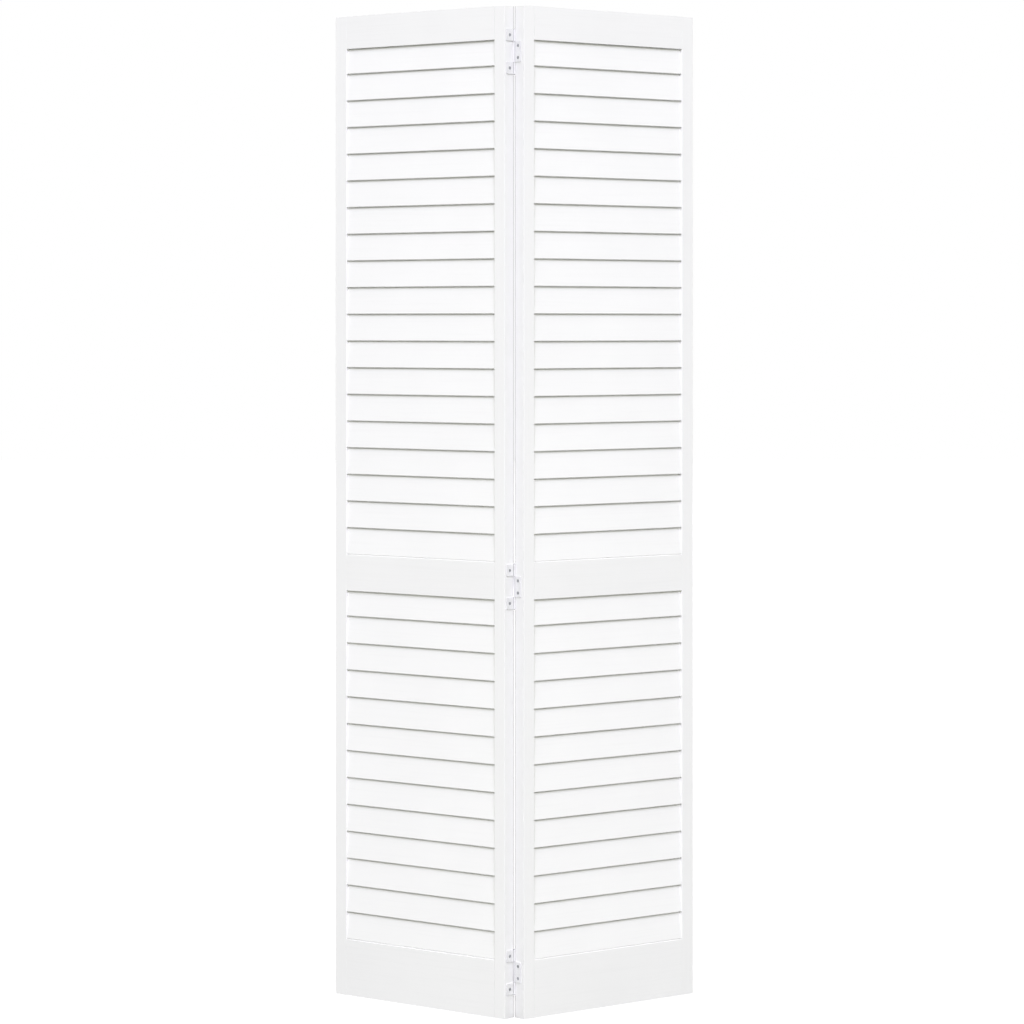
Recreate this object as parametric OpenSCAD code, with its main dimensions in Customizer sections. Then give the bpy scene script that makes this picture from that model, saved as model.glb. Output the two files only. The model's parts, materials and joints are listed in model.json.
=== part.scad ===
// Bifold closet door: two louvred panels joined by three surface hinges.
// Each panel is a doweled frame of two stiles and three rails, and the slats
// are let into blind housings in the stiles. The part stands on its lower
// ends, folded, with the fold towards -Y and its pins parallel to Z.

/* [Door] */
// Height of both panels
door_h = 2000; // [1900:5:2100]
// Width of one panel
panel_w = 450; // [300:5:600]
// Thickness of the stiles and rails
panel_t = 28.6; // [25:0.2:35]
// Fold of the stored door: 0 is flat, 180 is folded back to back
fold = 79; // [0:1:180]

/* [Frame] */
// Width of the stiles that carry the hinges
hinge_stile_w = 26.5; // [26:0.5:60]
// Width of the outer stiles
outer_stile_w = 30.2; // [28:0.2:60]
// Height of the top rail
top_rail_h = 66.7; // [60:0.1:120]
// Height of the middle rail
mid_rail_h = 74; // [50:0.5:120]
// Height of the middle rail's lower edge above the floor
mid_rail_z = 826.5; // [600:0.5:1100]
// Height of the bottom rail
bottom_rail_h = 114.3; // [80:0.1:200]
// Radius of the eased long edges of the stiles and rails
ease_r = 0.8; // [0.5:0.1:2]

/* [Slats] */
// Width of a slat, across its section
slat_w = 63.5; // [58:0.5:70]
// Thickness of a slat
slat_t = 4; // [3:0.1:6]
// Spacing aimed at, before each opening is divided into whole slats
slat_spacing = 54.7; // [50:0.1:60]
// Clear gap between neighbouring slats
slat_gap = 0.5; // [0.4:0.1:1.5]
// How far the front edge of a slat stands behind the front faces
slat_recess = 1; // [1:0.1:7]
// How much less of the top slat shows than of the others
top_slat_trim = 2.7; // [0:0.1:10]
// How far each slat end is let into its stile
slat_housing = 8; // [5:0.5:9]
// Clear gap between a rail and the slat next to it
rail_gap = 0.4; // [0.3:0.1:1]

/* [Dowels] */
// Diameter of a dowel
dowel_d = 8; // [6:0.5:10]
// Length of a dowel
dowel_l = 30; // [24:1:40]
// Length of a dowel that is in the stile
dowel_in_stile = 10; // [8:0.5:10.5]
// Clearance on every side of the dowels, slat ends and screws
fit_clear = 0.1; // [0.05:0.01:0.2]

/* [Pivot holes] */
// Radius of the holes for the top pivot, bottom pivot and guide
pivot_hole_r = 4.76; // [3:0.01:6]
// Depth of these holes
pivot_hole_depth = 32; // [25:1:38]
// Distance of their axis from the panel's outer edge
pivot_inset = 19; // [12:0.5:22]

/* [Hinges] */
// Height of a hinge
hinge_h = 88.9; // [80:0.1:100]
// Height of the centre leaf
centre_leaf_h = 41; // [36:0.5:46]
// Reach of an end leaf from the back face across the stile edge
end_leaf_w = 23.5; // [18:0.5:24]
// Reach of the centre leaf from the back face across the stile edge
centre_leaf_w = 19.5; // [16:0.5:24]
// Thickness of the leaves
leaf_t = 1.4; // [1.2:0.1:2]
// Clear gap between a leaf and the leaf or edge that it folds against
leaf_gap = 0.4; // [0.3:0.05:0.8]
// Radius of the leaves' outer corners
leaf_corner_r = 2; // [1:0.5:4]
// Diameter of a pin
pin_d = 2.8; // [2.4:0.1:4]
// Radial running clearance of a pin in the rolled barrels
pin_clear = 0.05; // [0.02:0.01:0.1]
// Diameter of the heads that close the ends of a pin
pin_head_d = 4.6; // [4.4:0.1:5.4]
// Height of these heads
pin_head_h = 1.2; // [0.8:0.1:2]
// Distance of the pins' axis behind the back faces
pin_setback = 0.2; // [0.2:0.1:2]
// Clear gap between a barrel and the coves that let it into the stiles
barrel_clear = 0.35; // [0.2:0.05:0.8]
// Clear gap between a pin's heads and the ends of the coves
cove_end = 1; // [0.5:0.5:3]
// Distance of the upper hinge's centre from the top of the door
upper_hinge_drop = 90; // [60:1:200]
// Height of the middle hinge's centre above the floor
middle_hinge_z = 852; // [700:1:1000]
// Height of the lower hinge's centre above the floor
lower_hinge_z = 90; // [60:1:200]

/* [Screws] */
// Diameter of a screw's shank
screw_d = 3; // [2.5:0.1:3.5]
// Diameter of a screw's countersunk head
screw_head_d = 6.6; // [6:0.1:7.5]
// Length of a screw
screw_l = 16; // [12:0.5:16]
// Length of a screw's point
screw_point_l = 3; // [2:0.5:5]
// Distance of the end leaves' screws from the back face
end_screw_back = 14; // [10:0.5:16]
// Distance of the centre leaf's screws from the back face
centre_screw_back = 11.5; // [9:0.5:13]
// Distance of the centre leaf's screws from its middle
centre_screw_z = 12; // [8:0.5:14]
// Length, width and depth of the cross recess
recess_l = 3.6; // [3:0.1:4.5]
recess_w = 0.9; // [0.6:0.1:1.2]
recess_depth = 1.3; // [0.8:0.1:1.6]

/* [Hidden] */
$fn = 48;
OVER = 1;            // extra reach of a cut past the face that it opens
DRILL_POINT = 118;   // angle of the drill's point, which the blind pivot holes end in

PAINT = [0.96, 0.96, 0.96];
LEAF = [0.91, 0.91, 0.92];
BEECH = [0.82, 0.68, 0.50];
STEEL = [0.62, 0.63, 0.65];

// Openings between the rails: [height of the lower edge, height of the upper edge]
upper_opening = [mid_rail_z + mid_rail_h, door_h - top_rail_h];
lower_opening = [bottom_rail_h, mid_rail_z];
opening_w = panel_w - hinge_stile_w - outer_stile_w;

// The fold: clear gap between the stile edges when flat, and the barrels
edge_gap = leaf_t + leaf_gap;
barrel_r = pin_d / 2 + pin_clear + leaf_t;

// Depth of the folded door, from the eased corners at the fold to those at
// the outer edges, which sets the pin's place with the origin at mid depth
half_fold = fold / 2;
front_y = turned_y(edge_gap / 2 + ease_r, -pin_setback - panel_t + ease_r) - ease_r;
back_y = turned_y(edge_gap / 2 + panel_w - ease_r, -pin_setback - ease_r) + ease_r;
pin_y = -(front_y + back_y) / 2;

hinge_heights = [door_h - upper_hinge_drop, middle_hinge_z, lower_hinge_z];
end_leaf_h = (hinge_h - centre_leaf_h) / 2 - leaf_gap;
end_leaf_mid = (hinge_h - end_leaf_h) / 2;
screw_head_h = (screw_head_d - screw_d) / 2;
pivot_point_h = pivot_hole_r / tan(DRILL_POINT / 2);
pivot_reach = pivot_hole_depth + pivot_point_h;

// ---------- places ----------
// In a panel's own frame X runs from its hinge edge to its outer edge, Y from
// its front face to its back face, and Z up from the floor.

// Y of a point of the flat right panel once it is turned about the pin
function turned_y(x, y) = x * sin(half_fold) + y * cos(half_fold);

module in_right_panel() {
    translate([0, pin_y, 0])
        rotate([0, 0, half_fold])
            translate([edge_gap / 2, -pin_setback - panel_t, 0])
                children();
}

module in_left_panel() {
    mirror([1, 0, 0]) in_right_panel() children();
}

// Stands a section drawn as [Y, Z] across the panel, from x0 for a length
module across(x0, length) {
    translate([x0, 0, 0])
        rotate([90, 0, 90])
            linear_extrude(height = length) children();
}

// ---------- frame ----------
// A w by h rectangle with four eased corners
module eased_rect(w, h) {
    translate([ease_r, 0]) square([w - 2 * ease_r, h]);
    translate([0, ease_r]) square([w, h - 2 * ease_r]);
    for (x = [ease_r, w - ease_r], y = [ease_r, h - ease_r])
        translate([x, y]) circle(ease_r);
}

// Section of a rail: the edges next to an opening are eased, the others square
module rail_section(z, h, ease_low, ease_high) {
    low = ease_low ? 0 : ease_r;
    high = ease_high ? 0 : ease_r;
    translate([0, z])
        intersection() {
            square([panel_t, h]);
            translate([0, -low]) eased_rect(panel_t, h + low + high);
        }
}

// Heights of the two dowels in a stretch of rail that is free for them
function dowel_heights(z, free_h) = [z + free_h / 4, z + free_h * 3 / 4];

top_dowels = dowel_heights(door_h - top_rail_h, top_rail_h - pivot_reach);
middle_dowels = dowel_heights(mid_rail_z, mid_rail_h);
bottom_dowels = dowel_heights(pivot_reach, bottom_rail_h - pivot_reach);
all_dowels = concat(top_dowels, middle_dowels, bottom_dowels);

// Dowels across both joints of a rail. The grow value turns them into holes
module dowels_at(heights, grow = 0) {
    in_rail = dowel_l - dowel_in_stile;
    for (z = heights) {
        translate([hinge_stile_w - dowel_in_stile - grow, panel_t / 2, z])
            rotate([0, 90, 0])
                cylinder(h = dowel_l + 2 * grow, r = dowel_d / 2 + grow);
        translate([panel_w - outer_stile_w - in_rail - grow, panel_t / 2, z])
            rotate([0, 90, 0])
                cylinder(h = dowel_l + 2 * grow, r = dowel_d / 2 + grow);
    }
}

module rail(z, h, ease_low, ease_high, dowel_z) {
    difference() {
        across(hinge_stile_w, opening_w) rail_section(z, h, ease_low, ease_high);
        dowels_at(dowel_z, fit_clear);
    }
}

module top_rail() rail(door_h - top_rail_h, top_rail_h, true, false, top_dowels);

module middle_rail() rail(mid_rail_z, mid_rail_h, true, true, middle_dowels);

module bottom_rail() rail(0, bottom_rail_h, false, true, bottom_dowels);

module stile_blank(x0, w) {
    translate([x0, 0, 0])
        linear_extrude(height = door_h) eased_rect(w, panel_t);
}

// Drilled pivot or guide hole from an end of the outer stile, with the cone of
// the drill's point at its end
module pivot_hole(at_top) {
    translate([panel_w - pivot_inset, panel_t / 2, at_top ? door_h : 0])
        rotate([at_top ? 180 : 0, 0, 0]) {
            translate([0, 0, -OVER]) cylinder(h = pivot_hole_depth + OVER, r = pivot_hole_r);
            translate([0, 0, pivot_hole_depth])
                cylinder(h = pivot_point_h, r1 = pivot_hole_r, r2 = 0);
        }
}

module outer_stile(bottom_hole) {
    difference() {
        stile_blank(panel_w - outer_stile_w, outer_stile_w);
        slat_housings(panel_w - outer_stile_w - OVER);
        dowels_at(all_dowels, fit_clear);
        pivot_hole(true);
        if (bottom_hole) pivot_hole(false);
    }
}

// Cove in the back corner of a hinge stile, round the pin's axis, that lets in
// the barrels and the pin's heads
module barrel_cove(z) {
    h = hinge_h + 2 * (pin_head_h + cove_end);
    translate([-edge_gap / 2, panel_t + pin_setback, z - h / 2])
        cylinder(h = h, r = barrel_r + barrel_clear);
}

module hinge_stile(screw_from_back, screw_offsets) {
    difference() {
        stile_blank(0, hinge_stile_w);
        slat_housings(hinge_stile_w - slat_housing - fit_clear);
        dowels_at(all_dowels, fit_clear);
        for (z = hinge_heights) {
            barrel_cove(z);
            screws_at(z, screw_from_back, screw_offsets, true);
        }
    }
}

// ---------- slats ----------
// Whole number of slats in an opening, and their true spacing
function opening_h(o) = o[1] - o[0];
function slat_count(o) = round((opening_h(o) + top_slat_trim) / slat_spacing);
function slat_pitch(o) = (opening_h(o) + top_slat_trim) / slat_count(o);

// Lean of the slats that leaves the clear gap between neighbours
function slat_lean(o) = asin((slat_t + slat_gap) / slat_pitch(o));

// Section of slat i, counted from the bottom: both long edges are rounded,
// and the top slat is cut off level under the rail. The grow value turns it
// into the section of its housing
module slat_section(o, i, grow = 0) {
    z = o[0] + rail_gap + i * slat_pitch(o);
    r = slat_t / 2;
    intersection() {
        translate([slat_recess + r, z + r])
            rotate(-slat_lean(o)) {
                translate([-r - grow, 0]) square([slat_t + 2 * grow, slat_w - slat_t]);
                circle(r + grow);
                translate([0, slat_w - slat_t]) circle(r + grow);
            }
        translate([0, o[0]]) square([panel_t, opening_h(o) - rail_gap + grow]);
    }
}

module slats(o) {
    for (i = [0 : slat_count(o) - 1])
        across(hinge_stile_w - slat_housing, opening_w + 2 * slat_housing) slat_section(o, i);
}

// Blind housings for all slat ends of one stile, cut from x0 across
module slat_housings(x0) {
    for (o = [lower_opening, upper_opening], i = [0 : slat_count(o) - 1])
        across(x0, slat_housing + fit_clear + OVER) slat_section(o, i, fit_clear);
}

// ---------- hinges ----------
end_screws = [-end_leaf_mid, end_leaf_mid];
centre_screws = [-centre_screw_z, centre_screw_z];

// A leaf on the stile edge, from its reach in front of the back face to its
// barrel behind it, for a height h about the height z
module leaf(z, h, reach, screw_from_back, screw_offsets) {
    front = panel_t - reach;
    difference() {
        union() {
            translate([-leaf_t, 0, 0])
                rotate([90, 0, 90])
                    linear_extrude(height = leaf_t) leaf_outline(z, h, front);
            translate([-edge_gap / 2, panel_t + pin_setback, z - h / 2])
                cylinder(h = h, r = barrel_r);
        }
        translate([-edge_gap / 2, panel_t + pin_setback, z - h / 2 - OVER])
            cylinder(h = h + 2 * OVER, r = pin_d / 2 + pin_clear);
        screws_at(z, screw_from_back, screw_offsets, true);
    }
}

// Outline of a leaf as [Y, Z], with its two front corners rounded
module leaf_outline(z, h, front) {
    r = leaf_corner_r;
    back = panel_t + pin_setback;
    translate([front, z - h / 2 + r]) square([back - front, h - 2 * r]);
    translate([front + r, z - h / 2]) square([back - front - r, h]);
    for (s = [-1, 1]) translate([front + r, z + s * (h / 2 - r)]) circle(r);
}

// The end leaves lie above and below the centre leaf
module end_leaves(z) {
    for (s = [-1, 1])
        leaf(z + s * end_leaf_mid, end_leaf_h, end_leaf_w, end_screw_back, [0]);
}

module centre_leaf(z)
    leaf(z, centre_leaf_h, centre_leaf_w, centre_screw_back, centre_screws);

module hinge_pin(z) {
    translate([-edge_gap / 2, panel_t + pin_setback, z]) {
        translate([0, 0, -hinge_h / 2]) cylinder(h = hinge_h, r = pin_d / 2);
        for (s = [-1, 1])
            translate([0, 0, s * (hinge_h + pin_head_h) / 2])
                cylinder(h = pin_head_h, r = pin_head_d / 2, center = true);
    }
}

// ---------- screws ----------
// A screw along +Z with the top of its head at Z = 0
module screw() {
    difference() {
        union() {
            cylinder(h = screw_head_h, r1 = screw_head_d / 2, r2 = screw_d / 2);
            cylinder(h = screw_l - screw_point_l, r = screw_d / 2);
            translate([0, 0, screw_l - screw_point_l])
                cylinder(h = screw_point_l, r1 = screw_d / 2, r2 = 0);
        }
        for (turn = [0, 90])
            rotate([0, 0, turn])
                translate([-recess_l / 2, -recess_w / 2, -OVER])
                    cube([recess_l, recess_w, recess_depth + OVER]);
    }
}

// The countersunk hole of a screw
module screw_hole() {
    c = fit_clear;
    cylinder(h = screw_head_h, r1 = screw_head_d / 2 + c, r2 = screw_d / 2 + c);
    cylinder(h = screw_l + c, r = screw_d / 2 + c);
    translate([0, 0, -OVER]) cylinder(h = OVER, r = screw_head_d / 2 + c);
}

// Screws, or their holes, in line at a distance from the back face
module screws_at(z, from_back, offsets, hole = false) {
    for (s = offsets)
        translate([-leaf_t, panel_t - from_back, z + s])
            rotate([0, 90, 0]) {
                if (hole) screw_hole();
                else screw();
            }
}

// ---------- nodes ----------
module left_jamb_stile() color(PAINT) in_left_panel() outer_stile(true);
module left_hinge_stile() color(PAINT) in_left_panel() hinge_stile(end_screw_back, end_screws);
module left_top_rail() color(PAINT) in_left_panel() top_rail();
module left_middle_rail() color(PAINT) in_left_panel() middle_rail();
module left_bottom_rail() color(PAINT) in_left_panel() bottom_rail();
module left_upper_slats() color(PAINT) in_left_panel() slats(upper_opening);
module left_lower_slats() color(PAINT) in_left_panel() slats(lower_opening);
module left_top_rail_dowels() color(BEECH) in_left_panel() dowels_at(top_dowels);
module left_middle_rail_dowels() color(BEECH) in_left_panel() dowels_at(middle_dowels);
module left_bottom_rail_dowels() color(BEECH) in_left_panel() dowels_at(bottom_dowels);

module right_lead_stile() color(PAINT) in_right_panel() outer_stile(false);
module right_hinge_stile() color(PAINT) in_right_panel() hinge_stile(centre_screw_back, centre_screws);
module right_top_rail() color(PAINT) in_right_panel() top_rail();
module right_middle_rail() color(PAINT) in_right_panel() middle_rail();
module right_bottom_rail() color(PAINT) in_right_panel() bottom_rail();
module right_upper_slats() color(PAINT) in_right_panel() slats(upper_opening);
module right_lower_slats() color(PAINT) in_right_panel() slats(lower_opening);
module right_top_rail_dowels() color(BEECH) in_right_panel() dowels_at(top_dowels);
module right_middle_rail_dowels() color(BEECH) in_right_panel() dowels_at(middle_dowels);
module right_bottom_rail_dowels() color(BEECH) in_right_panel() dowels_at(bottom_dowels);

// The end leaves, their screws and the pin go with the left panel, the centre
// leaf and its screws with the right panel
module hinge_end_leaves(n) color(LEAF) in_left_panel() end_leaves(hinge_heights[n]);
module hinge_centre_leaf(n) color(LEAF) in_right_panel() centre_leaf(hinge_heights[n]);
module hinge_pin_of(n) color(STEEL) in_left_panel() hinge_pin(hinge_heights[n]);
module hinge_end_screws(n)
    color(STEEL) in_left_panel() screws_at(hinge_heights[n], end_screw_back, end_screws);
module hinge_centre_screws(n)
    color(STEEL) in_right_panel() screws_at(hinge_heights[n], centre_screw_back, centre_screws);

module upper_hinge_end_leaves() hinge_end_leaves(0);
module upper_hinge_centre_leaf() hinge_centre_leaf(0);
module upper_hinge_pin() hinge_pin_of(0);
module upper_hinge_end_screws() hinge_end_screws(0);
module upper_hinge_centre_screws() hinge_centre_screws(0);
module middle_hinge_end_leaves() hinge_end_leaves(1);
module middle_hinge_centre_leaf() hinge_centre_leaf(1);
module middle_hinge_pin() hinge_pin_of(1);
module middle_hinge_end_screws() hinge_end_screws(1);
module middle_hinge_centre_screws() hinge_centre_screws(1);
module lower_hinge_end_leaves() hinge_end_leaves(2);
module lower_hinge_centre_leaf() hinge_centre_leaf(2);
module lower_hinge_pin() hinge_pin_of(2);
module lower_hinge_end_screws() hinge_end_screws(2);
module lower_hinge_centre_screws() hinge_centre_screws(2);

left_jamb_stile();
left_hinge_stile();
left_top_rail();
left_middle_rail();
left_bottom_rail();
left_upper_slats();
left_lower_slats();
left_top_rail_dowels();
left_middle_rail_dowels();
left_bottom_rail_dowels();
right_lead_stile();
right_hinge_stile();
right_top_rail();
right_middle_rail();
right_bottom_rail();
right_upper_slats();
right_lower_slats();
right_top_rail_dowels();
right_middle_rail_dowels();
right_bottom_rail_dowels();
upper_hinge_end_leaves();
upper_hinge_centre_leaf();
upper_hinge_pin();
upper_hinge_end_screws();
upper_hinge_centre_screws();
middle_hinge_end_leaves();
middle_hinge_centre_leaf();
middle_hinge_pin();
middle_hinge_end_screws();
middle_hinge_centre_screws();
lower_hinge_end_leaves();
lower_hinge_centre_leaf();
lower_hinge_pin();
lower_hinge_end_screws();
lower_hinge_centre_screws();
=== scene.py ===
"""Bifold closet door: two louvred panels joined by three surface hinges, stored partly folded.

Each panel is a doweled frame with slats let into its stiles. Every piece is first modelled flat,
in metres, with the hinge pins on the Z axis and the back faces towards +Y, and is then turned
about the pins to its place in the folded door. A side's value is -1 for the left panel and 1 for
the right one, and a flat place is one in the door laid out flat.
"""

import json
import logging
import math
from contextlib import contextmanager
from dataclasses import dataclass, replace
from enum import Enum
from typing import Callable, Iterator, Sequence

import bpy
from mathutils import Matrix, Vector


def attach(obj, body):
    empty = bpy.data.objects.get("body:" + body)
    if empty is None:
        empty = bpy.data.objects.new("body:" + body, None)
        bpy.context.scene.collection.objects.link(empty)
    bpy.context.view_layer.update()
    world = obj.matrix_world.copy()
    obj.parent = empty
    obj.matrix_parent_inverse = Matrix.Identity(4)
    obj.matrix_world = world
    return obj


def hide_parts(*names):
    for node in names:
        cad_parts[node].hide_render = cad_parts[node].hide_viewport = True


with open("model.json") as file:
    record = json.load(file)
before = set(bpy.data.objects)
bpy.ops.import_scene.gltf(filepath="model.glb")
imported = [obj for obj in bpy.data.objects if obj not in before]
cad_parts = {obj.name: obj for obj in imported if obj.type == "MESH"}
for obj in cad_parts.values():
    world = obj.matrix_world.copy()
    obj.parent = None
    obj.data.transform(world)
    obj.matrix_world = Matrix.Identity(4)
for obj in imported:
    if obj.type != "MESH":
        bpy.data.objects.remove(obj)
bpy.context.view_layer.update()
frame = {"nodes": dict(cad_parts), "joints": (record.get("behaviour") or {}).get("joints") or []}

MM = 0.001
# A point this close to a face counts as on it, and points this close to each other are merged.
NEAR = 0.1 * MM
MERGE = 0.01 * MM
# Cutters start this far outside what they cut.
OVERCUT = 1 * MM
# How many faces make up an eased edge, a leaf's corner and its bend.
EASE_STEPS = 5
RAILS = ("top", "middle", "bottom")
log = logging.getLogger("bifold_door")

Object = bpy.types.Object
Material = bpy.types.Material
Tree = bpy.types.NodeTree
Socket = bpy.types.NodeSocket
Pair = tuple[float, float]
VertexTest = Callable[[Vector], bool]
EdgeTest = Callable[[Vector, Vector], bool]


# ---------- workbench ----------


@contextmanager
def editing(obj: Object) -> Iterator[None]:
    """Holds one object in edit mode.

    Args:
        obj: The object that is edited, with its selection already made.
    """
    bpy.context.view_layer.objects.active = obj
    bpy.ops.object.mode_set(mode="EDIT")
    yield
    bpy.ops.object.mode_set(mode="OBJECT")


def select_only(*objs: Object) -> None:
    """Selects these objects and no other, with the first one active.

    Args:
        objs: The objects to select.
    """
    bpy.ops.object.select_all(action="DESELECT")
    for obj in objs:
        obj.select_set(True)
    bpy.context.view_layer.objects.active = objs[0]


def settle(obj: Object, name: str | None = None) -> Object:
    """Puts an object's place, turn and size into its mesh.

    Args:
        obj: The object to settle.
        name: A new name for it, if it gets one.

    Returns:
        The same object, at the origin.
    """
    select_only(obj)
    bpy.ops.object.transform_apply(location=True, rotation=True, scale=True)
    if name:
        obj.name = obj.data.name = name
    return obj


def unpicked(obj: Object, verts: bool) -> bpy.types.Mesh:
    """Clears an object's selection, ready to pick vertices or edges.

    Args:
        obj: The object.
        verts: Whether vertices are picked, and not edges.

    Returns:
        The object's mesh.
    """
    bpy.context.tool_settings.mesh_select_mode = (verts, not verts, False)
    mesh = obj.data
    for kind in (mesh.vertices, mesh.edges, mesh.polygons):
        kind.foreach_set("select", [False] * len(kind))
    return mesh


def pick_verts(obj: Object, test: VertexTest) -> None:
    """Selects the vertices that pass a test on their place."""
    for vert in unpicked(obj, verts=True).vertices:
        vert.select = test(vert.co)


def pick_edges(obj: Object, test: EdgeTest) -> None:
    """Selects the edges that pass a test.

    Args:
        obj: The object.
        test: Takes the places of an edge's two ends and says if it is selected.
    """
    mesh = unpicked(obj, verts=False)
    for edge in mesh.edges:
        a, b = (mesh.vertices[i].co for i in edge.vertices)
        edge.select = test(a, b)


def block(name: str, corner: Vector, opposite: Vector) -> Object:
    """Adds a block between two opposite corners.

    Args:
        name: The block's name.
        corner: One corner.
        opposite: The corner across from it, on any side of the first.

    Returns:
        The block, with its place in its mesh.
    """
    bpy.ops.object.select_all(action="DESELECT")
    size = Vector(abs(b - a) for a, b in zip(corner, opposite))
    bpy.ops.mesh.primitive_cube_add(size=1, location=(corner + opposite) / 2, scale=size)
    return settle(bpy.context.object, name)


def ease(obj: Object, radius: float, segments: int, test: EdgeTest) -> None:
    """Rounds the edges that pass a test.

    Args:
        obj: The object to round.
        radius: The radius of the rounding.
        segments: How many faces make it up.
        test: Takes the places of an edge's two ends and says if it is rounded.
    """
    pick_edges(obj, test)
    with editing(obj):
        bpy.ops.mesh.bevel(offset=radius, segments=segments, profile=0.5, affect="EDGES")


def turned(name: str, start: Vector, way: Vector, stations: Sequence[Pair],
           segments: int = 32) -> Object:
    """Makes a turned piece by extruding a disc along its axis and resizing it on the way.

    Args:
        name: The piece's name.
        start: The point that the stations are counted from.
        way: The axis, as a unit vector.
        stations: The distance along the axis and the radius of each change in the outline.
        segments: How many flats go round the piece.

    Returns:
        The closed piece, with its place in its mesh.
    """
    bpy.ops.object.select_all(action="DESELECT")
    along, radius = stations[0]
    bpy.ops.mesh.primitive_circle_add(
        vertices=segments, radius=radius, fill_type="NGON", location=start + way * along,
        rotation=way.to_track_quat("Z", "Y").to_euler())
    obj = settle(bpy.context.object, name)
    with editing(obj):
        bpy.ops.mesh.select_all(action="SELECT")
        for next_along, next_radius in stations[1:]:
            bpy.ops.mesh.extrude_region_move(
                TRANSFORM_OT_translate={"value": way * (next_along - along)})
            bpy.ops.transform.resize(
                value=(next_radius / radius,) * 3, center_override=start + way * next_along)
            along, radius = next_along, next_radius
        bpy.ops.mesh.select_all(action="SELECT")
        bpy.ops.mesh.normals_make_consistent(inside=False)
    return obj


def copied(obj: Object, move: Vector) -> Object:
    """Copies an object with a mesh of its own.

    Args:
        obj: The object to copy.
        move: How far from the first one the copy lies.

    Returns:
        The copy, with its place in its mesh.
    """
    select_only(obj)
    bpy.ops.object.duplicate(linked=False)
    bpy.ops.transform.translate(value=move)
    return settle(bpy.context.object)


def joined(name: str, objs: Sequence[Object]) -> Object:
    """Joins objects to one.

    Args:
        name: The name of the joined object.
        objs: The objects to join.

    Returns:
        The joined object.
    """
    select_only(*objs)
    if len(objs) > 1:
        bpy.ops.object.join()
    obj = bpy.context.view_layer.objects.active
    obj.name = obj.data.name = name
    return obj


def cut(obj: Object, cutter: Object) -> None:
    """Cuts one object out of another, and removes the cutter.

    Args:
        obj: The object that loses material.
        cutter: A closed object in the shape of the hollow.
    """
    modifier = obj.modifiers.new("cut", "BOOLEAN")
    modifier.operation, modifier.solver, modifier.object = "DIFFERENCE", "EXACT", cutter
    apply_modifier(obj, modifier)
    bpy.data.objects.remove(cutter)


def apply_modifier(obj: Object, modifier: bpy.types.Modifier) -> None:
    """Applies a modifier to its object."""
    select_only(obj)
    bpy.ops.object.modifier_apply(modifier=modifier.name)


def break_edges(obj: Object, width: float, angle: float = 40) -> None:
    """Takes the sharpness off all edges, as sanding or tumbling does.

    Args:
        obj: The object to finish.
        width: The width of the broken edge.
        angle: The least angle between two faces whose edge is broken, in degrees.
    """
    modifier = obj.modifiers.new("broken_edges", "BEVEL")
    modifier.width, modifier.segments = width, 2
    modifier.limit_method, modifier.angle_limit = "ANGLE", math.radians(angle)
    modifier.use_clamp_overlap = True
    apply_modifier(obj, modifier)


def smooth(obj: Object, angle: float = 32) -> None:
    """Shades an object smooth over its rounded edges and flat over its faces.

    Args:
        obj: The object to shade.
        angle: The angle up to which neighbouring faces are one surface, in degrees.
    """
    select_only(obj)
    bpy.ops.object.shade_smooth_by_angle(angle=math.radians(angle))
    modifier = obj.modifiers.new("face_normals", "WEIGHTED_NORMAL")
    modifier.keep_sharp = True
    apply_modifier(obj, modifier)


# ---------- finishes ----------


def dress(piece: Object, material: Material) -> None:
    """Gives a piece one material and no other."""
    piece.data.materials.clear()
    piece.data.materials.append(material)


def linear(colour: str) -> tuple[float, float, float, float]:
    """Turns an sRGB colour such as "#f0f0f0" to a linear one.

    Args:
        colour: Six hex digits after a hash.

    Returns:
        Red, green, blue and an alpha of one.
    """
    parts = [int(colour[i:i + 2], 16) / 255 for i in (1, 3, 5)]
    red, green, blue = (
        c / 12.92 if c <= 0.04045 else ((c + 0.055) / 1.055) ** 2.4 for c in parts)
    return red, green, blue, 1.0


def add_node(tree: Tree, kind: str, inputs: dict[str | int, object] | None = None,
             **settings: object) -> bpy.types.Node:
    """Adds a node with its settings and links.

    Args:
        tree: The tree that gets the node.
        kind: Blender's name for the kind of node, after ShaderNode.
        inputs: A value, or an output to link, for each input that isn't left as it is.
        settings: Values for the node's own properties.

    Returns:
        The new node.
    """
    new = tree.nodes.new(f"ShaderNode{kind}")
    for name, value in settings.items():
        setattr(new, name, value)
    for name, value in (inputs or {}).items():
        if isinstance(value, bpy.types.NodeSocket):
            tree.links.new(value, new.inputs[name])
        else:
            new.inputs[name].default_value = value
    return new


def new_material(name: str) -> tuple[Material, Tree]:
    """Adds a material with an empty node tree.

    Args:
        name: The material's name.

    Returns:
        The material and its tree.
    """
    material = bpy.data.materials.new(name)
    material.use_nodes = True
    material.node_tree.nodes.clear()
    return material, material.node_tree


def calculated(tree: Tree, operation: str, *values: "Socket | float") -> Socket:
    """Adds a calculation, of the kind that Blender names so, on up to three values."""
    return add_node(tree, "Math", dict(enumerate(values)), operation=operation).outputs[0]


def noise(tree: Tree, place: Socket, scale: float, detail: float,
          roughness: float = 0.5) -> Socket:
    """Adds a noise round 0.5, with finer noises over it, each weaker by the roughness."""
    return add_node(tree, "TexNoise", {
        "Vector": place, "Scale": scale, "Detail": detail, "Roughness": roughness}).outputs[0]


def spread(tree: Tree, value: Socket, band: Pair, to: Pair = (0.0, 1.0)) -> Socket:
    """Spreads a band of a value over a new range, and holds what is beyond it at the ends."""
    return add_node(tree, "MapRange", {
        "Value": value, "From Min": band[0], "From Max": band[1],
        "To Min": to[0], "To Max": to[1]}).outputs[0]


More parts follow.
